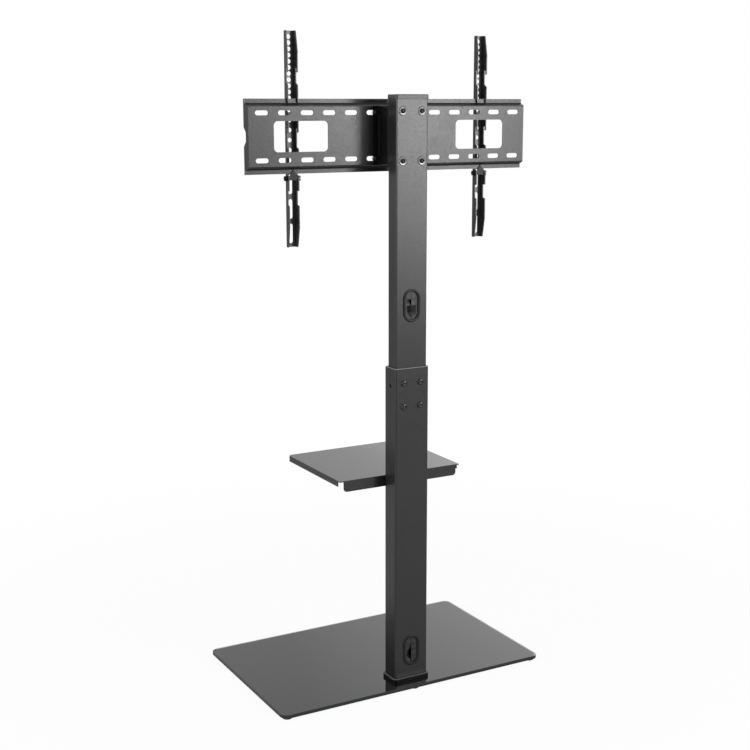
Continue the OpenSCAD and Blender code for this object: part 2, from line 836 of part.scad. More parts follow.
module top_cap() {
    color(plastic_black)
        difference() {
            union() {
                translate([0, up_y, mast_top_z - cap_h])
                    chamfered_slab(up_w + 2 * cap_out, up_d + 2 * cap_out, cap_h,
                        up_corner_r + cap_out, 0.3, cap_chamfer);
                translate([0, up_y, up_top_z - cap_plug_h])
                    linear_extrude(cap_plug_h)
                        rounded_rect(up_in_w - 2 * seat_gap, up_in_d - 2 * seat_gap, up_in_r);
            }
            translate([0, up_y, mast_top_z - cap_h - past])
                linear_extrude(cap_h - cap_roof + past)
                    difference() {
                        rounded_rect(up_w + 2 * seat_gap, up_d + 2 * seat_gap, up_corner_r);
                        rounded_rect(up_in_w - 2 * seat_gap, up_in_d - 2 * seat_gap, up_in_r);
                    }
            translate([0, up_y, up_top_z - cap_plug_h - past])
                linear_extrude(cap_plug_h + past)
                    rounded_rect(up_in_w - 2 * plug_wall, up_in_d - 2 * plug_wall, up_in_r);
        }
}

module mount_bolts() {
    l = washer_t + up_d + adapter_t + nut_h + 2;
    color(bolt_black)
        translate([0, up_rear + washer_t, plate_z])
            at_corners(mount_dx, mount_dz) facing_rear() button_bolt(bolt_d, l, head_d, head_h, hex_af);
}

module mount_washers() {
    color(bolt_black)
        translate([0, 0, plate_z])
            at_corners(mount_dx, mount_dz)
                along_y(up_rear, up_rear + washer_t)
                    difference() {
                        circle(d = washer_d);
                        circle(d = bolt_hole_d);
                    }
}

module mount_nuts() {
    color(zinc)
        translate([0, up_front - adapter_t, plate_z])
            at_corners(mount_dx, mount_dz)
                facing_front() rotate([0, 0, 30]) hex_nut(nut_af, nut_h, bolt_hole_d);
}

// Hat section: its back on the mast, its flanges on the mounting plate
module adapter_bracket() {
    t = adapter_t;
    side = up_w / 2 - t / 2;
    foot_y = web_y + t / 2;
    back_y = up_front - t / 2;
    color(steel_black)
        difference() {
            intersection() {
                translate([0, 0, plate_z - adapter_h / 2])
                    linear_extrude(adapter_h)
                        sheet_section([
                            [-adapter_w / 2, foot_y], [-side, foot_y], [-side, back_y],
                            [side, back_y], [side, foot_y], [adapter_w / 2, foot_y]
                        ], t, t);
                translate([0, 0, plate_z])
                    along_x(adapter_w + 2)
                        polygon([
                            [web_y - past, -adapter_h / 2], [web_y + t, -adapter_h / 2],
                            [up_front, -adapter_mast_h / 2], [up_front + past, -adapter_mast_h / 2],
                            [up_front + past, adapter_mast_h / 2], [up_front, adapter_mast_h / 2],
                            [web_y + t, adapter_h / 2], [web_y - past, adapter_h / 2]
                        ]);
            }
            translate([0, 0, plate_z]) {
                at_corners(mount_dx, mount_dz)
                    along_y(up_front - t - past, up_front + past) circle(d = bolt_hole_d);
                at_corners(2 * adapter_screw_x, row_gap)
                    along_y(web_y - past, web_y + t + past) circle(d = bolt_hole_d);
            }
        }
}

module adapter_screws() {
    l = adapter_t + plate_t + nut_h + 1;
    color(bolt_black)
        translate([0, web_y + adapter_t, plate_z])
            at_corners(2 * adapter_screw_x, row_gap)
                facing_rear() button_bolt(bolt_d, l, head_d, head_h, hex_af);
}

module adapter_nuts() {
    color(zinc)
        translate([0, web_y - plate_t, plate_z])
            at_corners(2 * adapter_screw_x, row_gap)
                facing_front() hex_nut(nut_af, nut_h, bolt_hole_d);
}

// Mounting plate

// Middle of the plate's sheet in Y and Z, from the lower lip to the upper lip
function plate_path() = [
    [lip_y - plate_t / 2, -plate_h / 2],
    [lip_y - plate_t / 2, -plate_h / 2 + lip_h],
    [web_y - plate_t / 2, -web_half],
    [web_y - plate_t / 2, web_half],
    [lip_y - plate_t / 2, plate_h / 2 - lip_h],
    [lip_y - plate_t / 2, plate_h / 2]
];

module through_web() { along_y(web_y - plate_t - past, web_y + past) children(); }

module wall_plate() {
    web_end = plate_w / 2 - end_spread;
    bend_r = plate_t;
    back = shifted_path(rounded_path(plate_path(), bend_r), -plate_t / 2);
    lip_front = lip_y - plate_t;
    color(steel_black)
        translate([0, 0, plate_z])
            difference() {
                union() {
                    along_x(2 * web_end) sheet_section(plate_path(), plate_t, bend_r);
                    for (s = [-1, 1])
                        intersection() {
                            linear_extrude(plate_h, center = true)
                                sheet_section([
                                    [s * (web_end - 20), web_y - plate_t / 2],
                                    [s * (web_end - plate_t / 2), web_y - plate_t / 2],
                                    [s * (plate_w / 2 - plate_t / 2), lip_front]
                                ], plate_t, bend_r);
                            along_x(plate_w + 2)
                                polygon(concat([[lip_front, -plate_h / 2]], back, [[lip_front, plate_h / 2]]));
                        }
                }
                for (i = [0 : slot_n - 1], s = [-1, 1])
                    translate([(i - (slot_n - 1) / 2) * slot_pitch, 0, s * row_gap / 2])
                        through_web() rotate([0, 0, 90]) slot_shape(slot_w, slot_l);
                for (s = [-1, 1])
                    translate([s * window_x, 0, 0])
                        through_web() rounded_rect(window_w, window_h, window_r);
                for (s = [-1, 1])
                    translate([s * plate_w / 2, 0, 0])
                        along_x(4 * end_spread)
                            polygon([
                                [lip_front - past, -end_notch_mouth], [lip_front, -end_notch_mouth],
                                [lip_front + end_notch, -end_notch_floor],
                                [lip_front + end_notch, end_notch_floor],
                                [lip_front, end_notch_mouth], [lip_front - past, end_notch_mouth]
                            ]);
            }
}

// Arms

// Outline of a web in depth and height, measured down from the arm's top
module web_outline() {
    polygon(rounded_path([
        [-past, 0], [arm_end_depth, 0], [arm_depth, -arm_taper],
        [arm_depth, -arm_l + arm_taper], [arm_end_depth, -arm_l], [-past, -arm_l]
    ], 3));
}

// Notch that hooks over a lip, with a finger at its mouth
module hook_notch(h) {
    out = arm_depth + past;
    translate([0, -h[0]])
        polygon([
            [arm_floor, 0], [arm_floor + throat_w, 0], [arm_floor + throat_w, -finger_l],
            [arm_depth, -finger_l + 2], [out, -finger_l + 2],
            [out, -h[2]], [arm_depth, -h[2]], [arm_floor, -h[1]]
        ]);
}

module arm() {
    t = arm_t;
    half = arm_w / 2 - t / 2;
    spread = arm_splay * (arm_depth - t / 2) / arm_depth;
    difference() {
        intersection() {
            translate([0, arm_y, arm_bottom])
                linear_extrude(arm_l)
                    sheet_section([
                        [-half - spread, arm_depth], [-half, t / 2], [half, t / 2], [half + spread, arm_depth]
                    ], t, t * 0.9);
            translate([0, arm_y, arm_top]) along_x(2 * arm_w) web_outline();
        }
        translate([0, arm_y, arm_top])
            along_x(2 * arm_w) {
                for (h = hooks) hook_notch(h);
                polygon([
                    [arm_floor, -plain_notch[0]], [arm_depth + past, -plain_notch[0]],
                    [arm_depth + past, -plain_notch[0] - plain_notch[2]],
                    [arm_depth, -plain_notch[0] - plain_notch[2]],
                    [arm_floor, -plain_notch[0] - plain_notch[1]]
                ]);
            }
        translate([0, 0, arm_top])
            along_y(arm_y - past, arm_y + t + past) {
                for (i = [0 : fine_n - 1])
                    translate([0, -tv_hole_top - i * fine_pitch]) circle(d = tv_hole_d);
                for (i = [0 : coarse_n - 1])
                    translate([0, -coarse_top - i * coarse_pitch]) circle(d = tv_hole_d);
                for (i = [0 : tv_slot_n - 1])
                    translate([0, -tv_slot_top - tv_slot_l / 2 - i * (tv_slot_l + tv_slot_bridge)])
                        slot_shape(tv_slot_w, tv_slot_l);
            }
        translate([0, pivot_y, pivot_z])
            rotate([0, 90, 0]) cylinder(h = 2 * arm_w, d = bolt_hole_d, center = true);
    }
}

// Half of the latch's tab: an arch that comes to a blunt point
tab_foot = 3;
tab_tip_w = 1.6;
tab_steps = 8;
function tab_edge() = [
    for (i = [0 : tab_steps])
        let (h = i / tab_steps)
        [max(latch_tab_w / 2 * (1 - pow(h, 1.3)), tab_tip_w / 2), tab_foot + (latch_tip - tab_foot) * h]
];
function mirrored(p) = [for (v = p) [-v[0], v[1]]];

// Pointed clip that stands behind the lower lip and turns on the pivot screw
module latch() {
    plate_y0 = lip_y + 0.5;
    half_tab = concat([[latch_w / 2, -latch_tail], [latch_w / 2, 0]], tab_edge());
    module ear() {
        circle(r = latch_ear_r);
        translate([0, -latch_tail]) square([plate_y0 + latch_t - pivot_y, 2 * latch_tail]);
    }
    translate([0, 0, pivot_z])
        along_y(plate_y0, plate_y0 + latch_t)
            polygon(concat(half_tab, reversed(mirrored(half_tab))));
    difference() {
        for (s = [-1, 1])
            translate([s * (latch_w - latch_t) / 2, pivot_y, pivot_z]) along_x(latch_t) ear();
        translate([0, pivot_y, pivot_z])
            rotate([0, 90, 0]) cylinder(h = 2 * latch_w, d = bolt_d + 2 * pivot_gap, center = true);
    }
}

// Half width of an arm over its webs at the pivot
pivot_half = arm_w / 2 + arm_splay * (pivot_depth + pivot_head_d / 2) / arm_depth;

module latch_screw() {
    translate([-pivot_half, pivot_y, pivot_z])
        rotate([0, -90, 0]) {
            difference() {
                cylinder(h = pivot_head_h, d = pivot_head_d);
                translate([0, 0, pivot_head_h - 1.4]) cube([1.6, pivot_head_d + 2, 2.8], center = true);
            }
            translate([0, 0, -2 * pivot_half - nut_h - 1])
                cylinder(h = 2 * pivot_half + nut_h + 2, d = bolt_d);
        }
}

module latch_nut() {
    translate([pivot_half, pivot_y, pivot_z]) rotate([0, 90, 0]) hex_nut(nut_af, nut_h, bolt_hole_d);
}

module right_arm() { color(steel_black) translate([arm_x, 0, 0]) arm(); }
module right_latch() { color(steel_black) translate([arm_x, 0, 0]) latch(); }
module right_latch_screw() { color(bolt_black) translate([arm_x, 0, 0]) latch_screw(); }
module right_latch_nut() { color(zinc) translate([arm_x, 0, 0]) latch_nut(); }
module left_arm() { color(steel_black) translate([-arm_x, 0, 0]) arm(); }
module left_latch() { color(steel_black) translate([-arm_x, 0, 0]) latch(); }
module left_latch_screw() { color(bolt_black) translate([-arm_x, 0, 0]) latch_screw(); }
module left_latch_nut() { color(zinc) translate([-arm_x, 0, 0]) latch_nut(); }

base_glass();
base_feet();
anchor_plate();
base_bolts();
foot_block();
foot_collar();
lower_tube();
guide_sleeve();
height_bolts();
clamp_nut_plate();
side_screw();
lower_grommet_ring();
lower_grommet_flaps();
shelf();
shelf_bolts();
shelf_nuts();
upper_tube();
tube_glide();
top_cap();
upper_grommet_ring();
upper_grommet_flaps();
mount_bolts();
mount_washers();
mount_nuts();
adapter_bracket();
adapter_screws();
adapter_nuts();
wall_plate();
right_arm();
right_latch();
right_latch_screw();
right_latch_nut();
left_arm();
left_latch();
left_latch_screw();
left_latch_nut();
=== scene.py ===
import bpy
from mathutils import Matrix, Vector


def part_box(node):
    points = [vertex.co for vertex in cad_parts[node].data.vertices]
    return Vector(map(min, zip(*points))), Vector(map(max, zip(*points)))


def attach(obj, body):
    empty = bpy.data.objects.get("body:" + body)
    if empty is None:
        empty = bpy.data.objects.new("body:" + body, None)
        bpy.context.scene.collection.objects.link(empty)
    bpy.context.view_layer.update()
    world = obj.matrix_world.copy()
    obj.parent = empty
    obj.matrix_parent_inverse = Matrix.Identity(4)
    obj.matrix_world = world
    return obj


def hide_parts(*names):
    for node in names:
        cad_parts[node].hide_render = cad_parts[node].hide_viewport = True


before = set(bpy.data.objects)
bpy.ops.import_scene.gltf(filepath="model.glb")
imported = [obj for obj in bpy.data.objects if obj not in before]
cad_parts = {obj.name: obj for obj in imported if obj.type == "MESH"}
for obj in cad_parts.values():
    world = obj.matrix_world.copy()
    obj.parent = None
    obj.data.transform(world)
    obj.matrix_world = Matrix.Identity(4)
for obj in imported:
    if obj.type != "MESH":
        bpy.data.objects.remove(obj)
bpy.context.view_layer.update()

import math
import bpy
import numpy as np
from mathutils import Matrix

scene = bpy.context.scene


# Camera. The photograph looks at the back of the stand from its right, from
# just below the top of the mast and about three metres away. The frame is a
# square of 750 pixels.
def set_in(axes, at):
    """Matrix of an object whose own x, y and z point along these axes, and whose origin is at that point."""
    return Matrix([[*row, place] for row, place in zip(np.array(axes).T, at)] + [[0, 0, 0, 1]])


eye = (1.3970, 2.5217, 1.2518)
yaw, pitch, roll = math.radians(29.058), math.radians(11.438), math.radians(-0.083)
focal_px, frame_px, sensor_mm = 1324.71, 750, 36
back = np.array([math.sin(yaw) * math.cos(pitch), math.cos(yaw) * math.cos(pitch), math.sin(pitch)])
level = np.cross(-back, [0, 0, 1])
level /= np.linalg.norm(level)
upright = np.cross(level, -back)
right = math.cos(roll) * level + math.sin(roll) * upright
up = -math.sin(roll) * level + math.cos(roll) * upright
camera_data = bpy.data.cameras.new("camera")
camera_data.sensor_width = sensor_mm
camera_data.lens = focal_px / frame_px * sensor_mm
camera_data.clip_start, camera_data.clip_end = 0.05, 200
camera = bpy.data.objects.new("camera", camera_data)
camera.matrix_world = set_in([right, up, back], eye)
scene.collection.objects.link(camera)
scene.camera = camera
scene.view_settings.view_transform = "Standard"


# Floor. A plain white studio floor. The camera sees it mostly as white
# light, so it still keeps the soft shadow near the stand and has faded into
# the white background some way out.
class Amount:
    """What a socket gives. Arithmetic on it adds Math nodes, and | takes the larger of two."""

    def __init__(self, shading, socket):
        self.shading, self.socket = shading, socket

    def math(self, operation, *values):
        """One Math node on these values."""
        return self.shading.node("ShaderNodeMath", {"operation": operation}, dict(enumerate(values)))

    def __add__(self, other):
        return self.math("ADD", self, other)

    def __radd__(self, other):
        return self.math("ADD", other, self)

    def __sub__(self, other):
        return self.math("SUBTRACT", self, other)

    def __rsub__(self, other):
        return self.math("SUBTRACT", other, self)

    def __mul__(self, other):
        return self.math("MULTIPLY", self, other)

    def __rmul__(self, other):
        return self.math("MULTIPLY", other, self)

    def __gt__(self, other):
        return self.math("GREATER_THAN", self, other)

    def __or__(self, other):
        return self.math("MAXIMUM", self, other)

    def span(self, low, high):
        """Low where this is 0, high where it is 1."""
        return low + (high - low) * self


class Shading:
    """The nodes of a material or of the world."""

    def __init__(self, owner):
        owner.use_nodes = True
        self.tree = owner.node_tree

    def node(self, kind, settings, inputs, output=0):
        """Adds a node, with its settings first and then values or links on its sockets. Gives its output."""
        made = self.tree.nodes.new(kind)
        for key, value in settings.items():
            setattr(made, key, value)
        for socket, value in inputs.items():
            if isinstance(value, Amount):
                self.tree.links.new(value.socket, made.inputs[socket])
            else:
                made.inputs[socket].default_value = value
        return Amount(self, made.outputs[output]) if made.outputs else None

    def ray(self, kind):
        """1 for light rays of that kind: Camera, Glossy or Transmission."""
        return self.node("ShaderNodeLightPath", {}, {}, f"Is {kind} Ray")

    def place(self):
        """Where a point is on the piece, in metres."""
        return self.node("ShaderNodeTexCoord", {}, {}, "Object")

    def vector(self, operation, *vectors, output=0):
        """Vector maths on points, directions or three numbers each."""
        return self.node("ShaderNodeVectorMath", {"operation": operation}, dict(enumerate(vectors)), output)

    def step(self, value, low, high, start=0.0, end=1.0):
        """Start below low, end above high, and smooth between."""
        return self.node("ShaderNodeMapRange", {"interpolation_type": "SMOOTHSTEP"}, {
            "Value": value, "From Min": low, "From Max": high, "To Min": start, "To Max": end})


floor_half, floor_albedo = 30.0, 0.80
glow_near, glow_far, fade_from, fade_to = 0.95, 1.0, 0.5, 1.9
floor_mesh = bpy.data.meshes.new("floor")
corners = [(x * floor_half, y * floor_half, 0) for x, y in ((-1, -1), (1, -1), (1, 1), (-1, 1))]
floor_mesh.from_pydata(corners, [], [(0, 1, 2, 3)])
floor = bpy.data.objects.new("floor", floor_mesh)
scene.collection.objects.link(floor)
floor_mesh.materials.append(bpy.data.materials.new("floor_paint"))
paint = Shading(floor_mesh.materials[0])
paint.tree.nodes.clear()
from_middle = paint.vector("LENGTH", paint.place(), output="Value")
glow_share = paint.ray("Camera") * paint.step(from_middle, fade_from, fade_to, glow_near, glow_far)
matt = paint.node("ShaderNodeBsdfDiffuse", {}, {"Color": (floor_albedo,) * 3 + (1,)})
glow = paint.node("ShaderNodeEmission", {}, {})
mixed = paint.node("ShaderNodeMixShader", {}, {0: glow_share, 1: matt, 2: glow})
paint.node("ShaderNodeOutputMaterial", {}, {"Surface": mixed})


# Background. White to the camera, and to what is seen in gloss or through
# glass, and a dim even grey for the light that it gives.
white, ambient = (1, 1, 1, 1), 0.40
scene.world = bpy.data.worlds.new("studio")
studio = Shading(scene.world)
studio.tree.nodes.clear()
seen = studio.ray("Camera") | studio.ray("Glossy") | studio.ray("Transmission")
dim = studio.node("ShaderNodeBackground", {}, {"Color": white, "Strength": ambient})
bright = studio.node("ShaderNodeBackground", {}, {"Color": white})
mixed = studio.node("ShaderNodeMixShader", {}, {0: seen, 1: dim, 2: bright})
studio.node("ShaderNodeOutputWorld", {}, {"Surface": mixed})


# Lamps. A softbox behind the stand, right of the camera, with three weaker
# panels round it, lights the upper half of the stand most. One more lights
# its side, and a faint one in front shows in the glass.
def softbox(name, centre, target, width, height, watts, spread=180):
    """Rectangular lamp turned to face target. A small spread in degrees dims it towards its edges."""
    data = bpy.data.lights.new(name, "AREA")
    data.shape, data.size, data.size_y, data.energy = "RECTANGLE", width, height, watts
    data.spread = math.radians(spread)
    lamp = bpy.data.objects.new(name, data)
    aim = np.array(target) - centre
    side = np.cross(aim, [0, 0, 1])
    side /= np.linalg.norm(side)
    aim /= np.linalg.norm(aim)
    lamp.matrix_world = set_in([side, np.cross(side, aim), -aim], centre)
    scene.collection.objects.link(lamp)


key_y, key_target, key_w = 2.3, (0, 0.1, 1.1), 0.6
for name, x, z, height, watts in (
        ("key", -1.4, 1.4, 0.8, 23.5), ("key_low", -1.4, 0.8, 0.4, 6.2),
        ("key_near", -0.8, 1.6, 0.4, 9), ("key_far", -2.0, 1.6, 0.4, 3.5)):
    softbox(name, (x, key_y, z), key_target, key_w, height, watts)
softbox("side", (3.0, 0.2, 1.3), (0, 0, 0.8), width=1.6, height=1.6, watts=52)
softbox("front", (-2.9, -2.8, 1.4), (0, 0, 0.1), width=3.4, height=3.0, watts=1.6, spread=40)


# Base glass. One plate of tempered glass with ground and polished edges. It
# is painted black underneath. Along its front and left edges a pale strip a few
# millimetres wide is painted light: the white backdrop seen through the edges.
X, Y, Z = range(3)


class Finish(Shading):
    """A surface finish: a Principled shader, its constants, and what varies over it."""

    def __init__(self, name, **constants):
        self.material = bpy.data.materials.new(name)
        super().__init__(self.material)
        self.shader = self.tree.nodes["Principled BSDF"]
        for socket, value in constants.items():
            self.shader.inputs[socket.replace("_", " ")].default_value = value

    def feed(self, socket, value):
        """Lets a socket of the shader vary."""
        self.tree.links.new(value.socket, self.shader.inputs[socket])

    def along(self, axis, vector=None):
        """How far along the axis X, Y or Z a point lies, or a given vector reaches."""
        return self.node("ShaderNodeSeparateXYZ", {}, {0: vector or self.place()}, axis)

    def faces(self, axis, low, high, both_ways=False):
        """1 where the normal reaches high along the axis, 0 where it stays below low, and smooth between."""
        normal = self.node("ShaderNodeTexCoord", {}, {}, "Normal")
        if both_ways:
            normal = self.vector("ABSOLUTE", normal)
        return self.step(self.along(axis, normal), low, high)

    def grain(self, size, detail=2.0):
        """Cloudy noise from 0 to 1 with features of about that size in metres."""
        at = self.node("ShaderNodeMapping", {}, {"Vector": self.place(), "Scale": [1 / size] * 3})
        return self.node("ShaderNodeTexNoise", {}, {"Vector": at, "Scale": 1.0, "Detail": detail}, "Fac")

    def blend(self, mask, first, second):
        """Colour first where the mask is 0, second where it is 1. Each is three numbers or another blend."""
        ends = {6: first, 7: second}
        colours = {end: value if isinstance(value, Amount) else (*value, 1) for end, value in ends.items()}
        return self.node("ShaderNodeMix", {"data_type": "RGBA"}, {0: mask, **colours}, 2)

    def colour(self, first, second, size, detail=2.0):
        """Lets the colour drift between two, in clouds of that size in metres."""
        self.feed("Base Color", self.blend(self.grain(size, detail), first, second))

    def rough(self, least, most, size, detail=2.0):
        """Lets the roughness vary between two, in patches of that size in metres."""
        self.feed("Roughness", self.grain(size, detail).span(least, most))

    def emboss(self, height, depth):
        """Raises the surface by depth metres where height is 1."""
        relief = {"Height": height, "Distance": depth, "Strength": 1.0}
        self.feed("Normal", self.node("ShaderNodeBump", {}, relief))


def coat(finish, *names):
    """Gives these CAD pieces that finish."""
    for name in names:
        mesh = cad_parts[name].data
        mesh.materials.clear()
        mesh.materials.append(finish.material)


black_paint, painted_rim_light, ground_edge = (0.004, 0.004, 0.0045), (0.42, 0.44, 0.43), (0.012, 0.015, 0.014)
corner_r, rim, front_left = 0.017, 0.0045, (-1, -1.6, 0)
speck, speck_from, speck_to = 0.004, 0.62, 0.80
patch, patch_from, patch_to = 0.09, 0.45, 0.75
glass = Finish("black_glass", Specular_IOR_Level=0.0, Coat_Weight=1.0, Coat_Roughness=0.02)
# The edge is corner_r away from the rectangle through the middles of the corners.
straight_half = (*(np.array(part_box("base_glass")[1])[:2] - corner_r), 1)
past_corner = glass.vector("SUBTRACT", glass.vector("ABSOLUTE", glass.place()), straight_half)
past_corner = glass.vector("MAXIMUM", past_corner)
near_edge = glass.vector("LENGTH", past_corner, output="Value") > corner_r - rim
front_left_half = glass.vector("DOT_PRODUCT", glass.place(), front_left, output="Value") > 0
top = glass.faces(Z, 0.55, 0.95)
specks = glass.step(glass.grain(speck, 3.0), speck_from, speck_to)
dust = specks * glass.step(glass.grain(patch), patch_from, patch_to)
# The pale strip along the front and left edges is painted light, for the white backdrop seen through the
# glass there.
through_top = glass.blend(near_edge * front_left_half, black_paint, painted_rim_light)
glass.feed("Base Color", glass.blend(top, ground_edge, through_top))
glass.feed("Roughness", dust.span(0.30, 0.65))
glass.emboss(glass.grain(0.0012) * (1 - top), depth=0.00002)
coat(glass, "base_glass")


# Feet. Five turned pads of soft black rubber, glued under the glass, with a
# dry surface that has picked up dust near the floor.
rubber_black, dusty, dusty_z, clean_z = (0.012, 0.012, 0.0125), (0.040, 0.039, 0.037), 0.0005, 0.003
rubber = Finish("black_rubber", Specular_IOR_Level=0.35)
dusted = (1 - rubber.step(rubber.along(Z), dusty_z, clean_z)) * rubber.grain(0.002, 3.0)
rubber.feed("Base Color", rubber.blend(dusted, rubber_black, dusty))
rubber.rough(0.62, 0.82, size=0.003)
rubber.emboss(rubber.grain(0.0007, 3.0), depth=0.00004)
coat(rubber, "base_feet")


# Zinc plated steel. Plain plated parts that mostly stay out of sight: the
# bolts under the glass, the block in the tube's foot, the nut plate behind
# the height bolts, and every nut but the latches'.
zinc = Finish("zinc_plate", Metallic=1.0)
zinc.colour((0.46, 0.47, 0.49), (0.66, 0.67, 0.69), size=0.006, detail=3.0)
zinc.rough(0.26, 0.48, size=0.0025, detail=3.0)
zinc.emboss(zinc.grain(0.0005), depth=0.00001)
coat(zinc, "base_bolts", "foot_block", "clamp_nut_plate", "mount_nuts", "adapter_nuts", "shelf_nuts")


# Moulded plastic. The cap, and the sleeve and glide that the upper tube runs
# on: black polypropylene with a fine spark-eroded texture.
plastic = Finish("moulded_plastic", Specular_IOR_Level=0.5)
plastic.colour((0.011, 0.011, 0.0115), (0.016, 0.016, 0.0165), size=0.03)
plastic.rough(0.32, 0.44, size=0.0006)
plastic.emboss(plastic.grain(0.0006), depth=0.00003)
coat(plastic, "guide_sleeve", "tube_glide", "top_cap")


# Cable bezels. The two oval rings are of a flatter, deeper black plastic.
bezel = Finish("bezel_plastic", Specular_IOR_Level=0.25)
bezel.colour((0.004, 0.004, 0.0042), (0.007, 0.007, 0.0072), size=0.03)
bezel.rough(0.36, 0.48, size=0.0006)
coat(bezel, "lower_grommet_ring", "upper_grommet_ring")


# Foot collar. A deep black moulding, with a painted highlight on its top faces.
moulding_black, highlight_pale, faintest_highlight = (0.0025, 0.0025, 0.0027), (0.12, 0.12, 0.121), 0.5
collar = Finish("black_moulding", Specular_IOR_Level=0.12)
# Painted highlight: the upward faces go pale, in patches.
top_highlight = collar.faces(Z, 0.25, 0.65) * collar.grain(0.004, 3.0).span(faintest_highlight, 1)
collar.feed("Base Color", collar.blend(top_highlight, moulding_black, highlight_pale))
collar.rough(0.34, 0.44, size=0.001)
coat(collar, "foot_collar")


# Upper tube, mounting plate and load plate. Cut and bent mild steel under a
# satin black powder coat, which lies in a fine orange peel and is a little
# uneven in gloss.
coat_black, coat_paler = (0.0090, 0.0090, 0.0094), (0.0130, 0.0130, 0.0134)


def powder_coat(name):
    """The coat with its relief. Its clouds and its roughness come with it, for each piece's own colouring."""
    coated = Finish(name, Specular_IOR_Level=0.5)
    cloud, mottle, peel = coated.grain(0.05, 3.0), coated.grain(0.005, 4.0), coated.grain(0.0011)
    coated.emboss(0.2 * peel + mottle, depth=0.00013)
    roughness = 0.19 + 0.05 * cloud + 0.20 * mottle + 0.04 * peel
    return coated, cloud, roughness


powder, cloud, roughness = powder_coat("powder_coat")
powder.feed("Base Color", powder.blend(cloud, coat_black, coat_paler))
powder.feed("Roughness", roughness)
coat(powder, "anchor_plate", "upper_tube", "wall_plate")


# Shelf. The same coat, sprayed smoother on one large flat face, and glossier
# towards its left end.
full_gloss_x, no_gloss_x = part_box("shelf")[0].x, 0.02
smooth = Finish("smooth_powder_coat", Specular_IOR_Level=0.5)
cloud, mottle = smooth.grain(0.07, 3.0), smooth.grain(0.006, 3.0)
gloss = 1 - smooth.step(smooth.along(X), full_gloss_x, no_gloss_x)
smooth.feed("Base Color", smooth.blend(cloud, coat_black, coat_paler))
smooth.feed("Roughness", 0.22 + 0.03 * cloud + 0.02 * mottle - 0.10 * gloss)
smooth.emboss(smooth.grain(0.0011) + mottle, depth=0.00004)
coat(smooth, "shelf")


# Lower tube. The same coat, with a painted highlight in pale grey on the cut
# edge round its mouth, where the upper tube slides in. Low on its sides the
# colour is painted shade, darker towards the dark glass that it mirrors, and the coat is glossier there.
even_black, shade_black = (0.0105, 0.0105, 0.0109), (0.0025, 0.0025, 0.0026)
rim_highlight_grey, rim_highlight_band = (0.26, 0.26, 0.265), 0.001
shade_full_z, shade_end_z = 0.03, 0.13
tube_coat, _, roughness = powder_coat("painted_light_powder_coat")
on_side = tube_coat.faces(X, 0.5, 0.9, both_ways=True)
# Painted shade: the sides darken towards the foot.
foot_shade = on_side * (1 - tube_coat.step(tube_coat.along(Z), shade_full_z, shade_end_z))
# Painted highlight: a pale band round the top edge.
mouth = tube_coat.along(Z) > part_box("lower_tube")[1].z - rim_highlight_band
black = tube_coat.blend(foot_shade, even_black, shade_black)
tube_coat.feed("Base Color", tube_coat.blend(mouth, black, rim_highlight_grey))
tube_coat.feed("Roughness", roughness - 0.24 * foot_shade)
coat(tube_coat, "lower_tube")


# Adapter bracket and side screw. Painted shade: a near-black steel without
# sheen, for the shade between the mast and the plate and at the bottom of the side hole.
shade = Finish("painted_shade_black", Specular_IOR_Level=0.10)
shade.colour((0.0020, 0.0020, 0.0021), (0.0035, 0.0035, 0.0036), size=0.02)
shade.rough(0.45, 0.55, size=0.003)
coat(shade, "adapter_bracket", "side_screw")


# Arms and latches. The same steel in a flatter coat. On the arms it has its
# sheen only where they lay flat in the oven: on the webs, not on the flanks.
def flat_powder_coat(name, sheen):
    """Finish for thin bent steel. Its sheen is there only on faces that look to the rear."""
    flat = Finish(name, Specular_IOR_Level=0.04, Coat_Roughness=0.30)
    flat.feed("Coat Weight", sheen * flat.faces(Y, 0.7, 0.95))
    flat.colour((0.0370, 0.0370, 0.0375), (0.0490, 0.0490, 0.0496), size=0.05, detail=3.0)
    flat.rough(0.36, 0.44, size=0.009, detail=3.0)
    flat.emboss(flat.grain(0.0011), depth=0.00004)
    return flat


coat(flat_powder_coat("arm_coat", sheen=1.0), "right_arm", "left_arm")
coat(flat_powder_coat("latch_coat", sheen=0.15), "right_latch", "left_latch")


# Height bolts. Four M8 button heads on the lower tube's rear face: a domed
# crown, a hexagon socket, and a thread on the end that the nut plate holds.
# Black oxide, smooth and a little glossy.
oxide = Finish("black_oxide", Specular_IOR_Level=0.5)
oxide.colour((0.006, 0.006, 0.0065), (0.011, 0.011, 0.0115), size=0.003)
oxide.rough(0.13, 0.23, size=0.0015, detail=3.0)
M6, M8 = 0.003, 0.004
pitches, head_widths = {M6: 0.001, M8: 0.00125}, {M6: 0.0105, M8: 0.014}
head_heights, socket_flats = {M6: 0.0033, M8: 0.0042}, {M6: 0.004, M8: 0.005}
edge_break, crease = 0.0001, math.radians(32)
groove_depth, groove_half, lead = 0.54, 0.42, 0.6  # shares of the pitch
head_rim, socket_mouth, socket_floor, drill_floor = 0.22, 0.94, 0.42, 0.36  # shares of the head's height
drill_r, crown_r = 0.3, 0.60  # shares of the socket's width
sides, rings_a_pitch, dome_rings = 48, 8, 9
turn, sixth = np.linspace(0, 2 * math.pi, sides, endpoint=False), math.pi / 3


def hexagon(flats, roll=0.0):
    """Radius of a hexagon at each angle a: flats / 2 / cos((a + roll) mod 60 - 30), in degrees."""
    return flats / 2 / np.cos((turn + roll) % sixth - sixth / 2)


def thread(radius, start, end):
    """Rings of a screw thread. The groove's middle runs where height / pitch - a / 360 is a whole number."""
    pitch = pitches[radius]
    height = np.arange(start, end, pitch / rings_a_pitch)[:, None]
    phase = (height / pitch - turn / (2 * math.pi)) % 1
    to_groove = np.minimum(phase, 1 - phase)
    return radius - groove_depth * pitch * np.clip(1 - to_groove / groove_half, 0, 1), height


